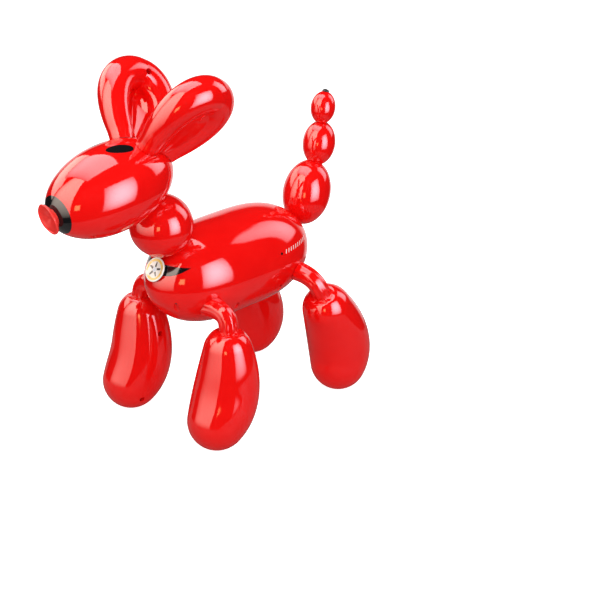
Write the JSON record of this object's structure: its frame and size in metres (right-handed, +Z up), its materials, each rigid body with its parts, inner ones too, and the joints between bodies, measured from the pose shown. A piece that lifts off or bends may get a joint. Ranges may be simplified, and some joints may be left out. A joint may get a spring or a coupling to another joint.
{
  "type": "balloon robot dog",
  "caption": "Glossy red moulded plastic toy dog shaped like a twisted modelling balloon, standing on bent pod legs, with loop ears, a bubble tail and a round disc on its collar",
  "frame": {"origin": "on the floor, under the middle of the toy's overall box", "axes": "+Z up; the dog faces -Y; its left side is +X"},
  "size_m": [0.141, 0.2734, 0.2706],
  "materials": {
    "red_shell": "glossy moulded red plastic",
    "red_nozzle": "softer, lighter red plastic",
    "printed_disc": "cream plastic with a printed face",
    "black_knob": "glossy black plastic"
  },
  "bodies": {
    "root": {"head": "red_shell", "nose_nozzle": "red_nozzle", "ear_left": "red_shell", "ear_right": "red_shell", "neck_bubble": "red_shell", "torso": "red_shell", "collar_medallion": "printed_disc", "tail": "red_shell", "tail_tip_button": "black_knob", "leg_front_left": "red_shell", "leg_front_right": "red_shell", "leg_rear_left": "red_shell", "leg_rear_right": "red_shell"}
  },
  "joints": []
}
